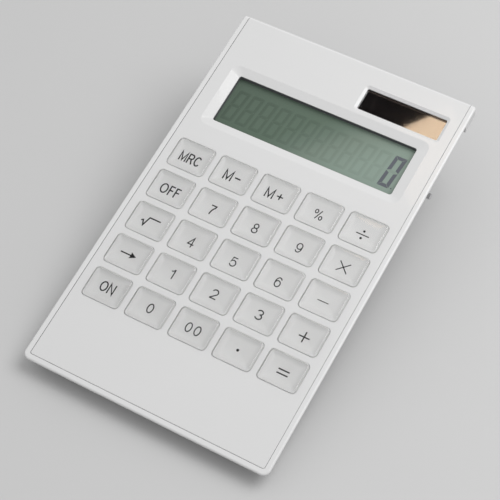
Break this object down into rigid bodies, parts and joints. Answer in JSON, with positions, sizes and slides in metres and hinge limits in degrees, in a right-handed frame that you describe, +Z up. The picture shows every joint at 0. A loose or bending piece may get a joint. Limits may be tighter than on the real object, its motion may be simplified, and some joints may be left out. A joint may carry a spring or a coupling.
{
  "type": "desk calculator",
  "caption": "Flat desk calculator with clear pillow keys, a long dished display, a solar strip and a folding wire stand that tilts it.",
  "frame": {"origin": "on the desk, under the middle of the case as it stands tilted on its wire stand", "axes": "+X to the user's right, +Y towards the display end, away from the user, +Z up from the desk"},
  "size_m": [0.1146, 0.1855, 0.0463],
  "materials": {
    "case_plastic": "glossy moulded",
    "cover_plastic": "glossy moulded",
    "key_acrylic": "clear cap over a pale underside",
    "black_foam": "matt",
    "display_glass": "smooth, grey green",
    "reflector_foil": "satin",
    "ribbon_film": "satin film",
    "clear_lens": "clear",
    "cell_glass": "dark brown, glossy",
    "lead_sleeve": "satin",
    "dome_rubber": "matt",
    "board_laminate": "satin lacquer",
    "carbon_ink": "matt",
    "black_resin": "glossy",
    "capacitor_ceramic": "matt",
    "screw_steel": "zinc plated",
    "battery_steel": "satin",
    "contact_steel": "spring steel",
    "foot_rubber": "matt",
    "stand_steel": "plated wire",
    "sleeve_rubber": "matt"
  },
  "bodies": {
    "case": {"bottom_case": "case_plastic", "top_cover": "cover_plastic", "display_gasket": "black_foam", "lcd_front_glass": "display_glass", "lcd_rear_glass": "display_glass", "lcd_reflector": "reflector_foil", "lcd_foam_pads": "black_foam", "lcd_ribbon": "ribbon_film", "solar_window": "clear_lens", "solar_cell": "cell_glass", "solar_leads": "lead_sleeve", "dome_sheet": "dome_rubber", "circuit_board": "board_laminate", "contact_pads": "carbon_ink", "chip_blob": "black_resin", "board_capacitors": "capacitor_ceramic", "board_screws": "screw_steel", "case_screws": "screw_steel", "battery": "battery_steel", "battery_contact_plus": "contact_steel", "battery_contact_minus": "contact_steel", "front_feet": "foot_rubber", "rear_feet": "foot_rubber"},
    "key_on_cap": {"key_on": "key_acrylic"},
    "key_0_cap": {"key_0": "key_acrylic"},
    "key_00_cap": {"key_00": "key_acrylic"},
    "key_point_cap": {"key_point": "key_acrylic"},
    "key_equals_cap": {"key_equals": "key_acrylic"},
    "key_backspace_cap": {"key_backspace": "key_acrylic"},
    "key_1_cap": {"key_1": "key_acrylic"},
    "key_2_cap": {"key_2": "key_acrylic"},
    "key_3_cap": {"key_3": "key_acrylic"},
    "key_plus_cap": {"key_plus": "key_acrylic"},
    "key_sqrt_cap": {"key_sqrt": "key_acrylic"},
    "key_4_cap": {"key_4": "key_acrylic"},
    "key_5_cap": {"key_5": "key_acrylic"},
    "key_6_cap": {"key_6": "key_acrylic"},
    "key_minus_cap": {"key_minus": "key_acrylic"},
    "key_off_cap": {"key_off": "key_acrylic"},
    "key_7_cap": {"key_7": "key_acrylic"},
    "key_8_cap": {"key_8": "key_acrylic"},
    "key_9_cap": {"key_9": "key_acrylic"},
    "key_multiply_cap": {"key_multiply": "key_acrylic"},
    "key_mrc_cap": {"key_mrc": "key_acrylic"},
    "key_m_minus_cap": {"key_m_minus": "key_acrylic"},
    "key_m_plus_cap": {"key_m_plus": "key_acrylic"},
    "key_percent_cap": {"key_percent": "key_acrylic"},
    "key_divide_cap": {"key_divide": "key_acrylic"},
    "stand": {"stand_wire": "stand_steel", "stand_sleeves": "sleeve_rubber"},
    "door": {"battery_door": "case_plastic"}
  },
  "joints": [
    {"name": "key_on_press", "type": "slide", "parent": "case", "child": "key_on_cap", "axis": [0, 0.2066, -0.9784], "range_m": [0, 0.0012], "stiffness_N_per_m": 450, "springref_m": -0.0002, "deforming": ["dome_sheet"]},
    {"name": "key_0_press", "type": "slide", "parent": "case", "child": "key_0_cap", "axis": [0, 0.2066, -0.9784], "range_m": [0, 0.0012], "stiffness_N_per_m": 450, "springref_m": -0.0002, "deforming": ["dome_sheet"]},
    {"name": "key_00_press", "type": "slide", "parent": "case", "child": "key_00_cap", "axis": [0, 0.2066, -0.9784], "range_m": [0, 0.0012], "stiffness_N_per_m": 450, "springref_m": -0.0002, "deforming": ["dome_sheet"]},
    {"name": "key_point_press", "type": "slide", "parent": "case", "child": "key_point_cap", "axis": [0, 0.2066, -0.9784], "range_m": [0, 0.0012], "stiffness_N_per_m": 450, "springref_m": -0.0002, "deforming": ["dome_sheet"]},
    {"name": "key_equals_press", "type": "slide", "parent": "case", "child": "key_equals_cap", "axis": [0, 0.2066, -0.9784], "range_m": [0, 0.0012], "stiffness_N_per_m": 450, "springref_m": -0.0002, "deforming": ["dome_sheet"]},
    {"name": "key_backspace_press", "type": "slide", "parent": "case", "child": "key_backspace_cap", "axis": [0, 0.2066, -0.9784], "range_m": [0, 0.0012], "stiffness_N_per_m": 450, "springref_m": -0.0002, "deforming": ["dome_sheet"]},
    {"name": "key_1_press", "type": "slide", "parent": "case", "child": "key_1_cap", "axis": [0, 0.2066, -0.9784], "range_m": [0, 0.0012], "stiffness_N_per_m": 450, "springref_m": -0.0002, "deforming": ["dome_sheet"]},
    {"name": "key_2_press", "type": "slide", "parent": "case", "child": "key_2_cap", "axis": [0, 0.2066, -0.9784], "range_m": [0, 0.0012], "stiffness_N_per_m": 450, "springref_m": -0.0002, "deforming": ["dome_sheet"]},
    {"name": "key_3_press", "type": "slide", "parent": "case", "child": "key_3_cap", "axis": [0, 0.2066, -0.9784], "range_m": [0, 0.0012], "stiffness_N_per_m": 450, "springref_m": -0.0002, "deforming": ["dome_sheet"]},
    {"name": "key_plus_press", "type": "slide", "parent": "case", "child": "key_plus_cap", "axis": [0, 0.2066, -0.9784], "range_m": [0, 0.0012], "stiffness_N_per_m": 450, "springref_m": -0.0002, "deforming": ["dome_sheet"]},
    {"name": "key_sqrt_press", "type": "slide", "parent": "case", "child": "key_sqrt_cap", "axis": [0, 0.2066, -0.9784], "range_m": [0, 0.0012], "stiffness_N_per_m": 450, "springref_m": -0.0002, "deforming": ["dome_sheet"]},
    {"name": "key_4_press", "type": "slide", "parent": "case", "child": "key_4_cap", "axis": [0, 0.2066, -0.9784], "range_m": [0, 0.0012], "stiffness_N_per_m": 450, "springref_m": -0.0002, "deforming": ["dome_sheet"]},
    {"name": "key_5_press", "type": "slide", "parent": "case", "child": "key_5_cap", "axis": [0, 0.2066, -0.9784], "range_m": [0, 0.0012], "stiffness_N_per_m": 450, "springref_m": -0.0002, "deforming": ["dome_sheet"]},
    {"name": "key_6_press", "type": "slide", "parent": "case", "child": "key_6_cap", "axis": [0, 0.2066, -0.9784], "range_m": [0, 0.0012], "stiffness_N_per_m": 450, "springref_m": -0.0002, "deforming": ["dome_sheet"]},
    {"name": "key_minus_press", "type": "slide", "parent": "case", "child": "key_minus_cap", "axis": [0, 0.2066, -0.9784], "range_m": [0, 0.0012], "stiffness_N_per_m": 450, "springref_m": -0.0002, "deforming": ["dome_sheet"]},
    {"name": "key_off_press", "type": "slide", "parent": "case", "child": "key_off_cap", "axis": [0, 0.2066, -0.9784], "range_m": [0, 0.0012], "stiffness_N_per_m": 450, "springref_m": -0.0002, "deforming": ["dome_sheet"]},
    {"name": "key_7_press", "type": "slide", "parent": "case", "child": "key_7_cap", "axis": [0, 0.2066, -0.9784], "range_m": [0, 0.0012], "stiffness_N_per_m": 450, "springref_m": -0.0002, "deforming": ["dome_sheet"]},
    {"name": "key_8_press", "type": "slide", "parent": "case", "child": "key_8_cap", "axis": [0, 0.2066, -0.9784], "range_m": [0, 0.0012], "stiffness_N_per_m": 450, "springref_m": -0.0002, "deforming": ["dome_sheet"]},
    {"name": "key_9_press", "type": "slide", "parent": "case", "child": "key_9_cap", "axis": [0, 0.2066, -0.9784], "range_m": [0, 0.0012], "stiffness_N_per_m": 450, "springref_m": -0.0002, "deforming": ["dome_sheet"]},
    {"name": "key_multiply_press", "type": "slide", "parent": "case", "child": "key_multiply_cap", "axis": [0, 0.2066, -0.9784], "range_m": [0, 0.0012], "stiffness_N_per_m": 450, "springref_m": -0.0002, "deforming": ["dome_sheet"]},
    {"name": "key_mrc_press", "type": "slide", "parent": "case", "child": "key_mrc_cap", "axis": [0, 0.2066, -0.9784], "range_m": [0, 0.0012], "stiffness_N_per_m": 450, "springref_m": -0.0002, "deforming": ["dome_sheet"]},
    {"name": "key_m_minus_press", "type": "slide", "parent": "case", "child": "key_m_minus_cap", "axis": [0, 0.2066, -0.9784], "range_m": [0, 0.0012], "stiffness_N_per_m": 450, "springref_m": -0.0002, "deforming": ["dome_sheet"]},
    {"name": "key_m_plus_press", "type": "slide", "parent": "case", "child": "key_m_plus_cap", "axis": [0, 0.2066, -0.9784], "range_m": [0, 0.0012], "stiffness_N_per_m": 450, "springref_m": -0.0002, "deforming": ["dome_sheet"]},
    {"name": "key_percent_press", "type": "slide", "parent": "case", "child": "key_percent_cap", "axis": [0, 0.2066, -0.9784], "range_m": [0, 0.0012], "stiffness_N_per_m": 450, "springref_m": -0.0002, "deforming": ["dome_sheet"]},
    {"name": "key_divide_press", "type": "slide", "parent": "case", "child": "key_divide_cap", "axis": [0, 0.2066, -0.9784], "range_m": [0, 0.0012], "stiffness_N_per_m": 450, "springref_m": -0.0002, "deforming": ["dome_sheet"]},
    {"name": "stand_fold", "type": "hinge", "parent": "case", "child": "stand", "pos_m": [0, 0.04952, 0.02949], "axis": [1, 0, 0], "range_deg": [0, 109]},
    {"name": "battery_door_slide", "type": "slide", "parent": "case", "child": "door", "axis": [0, -0.9784, -0.2066], "range_m": [0, 0.02]}
  ]
}
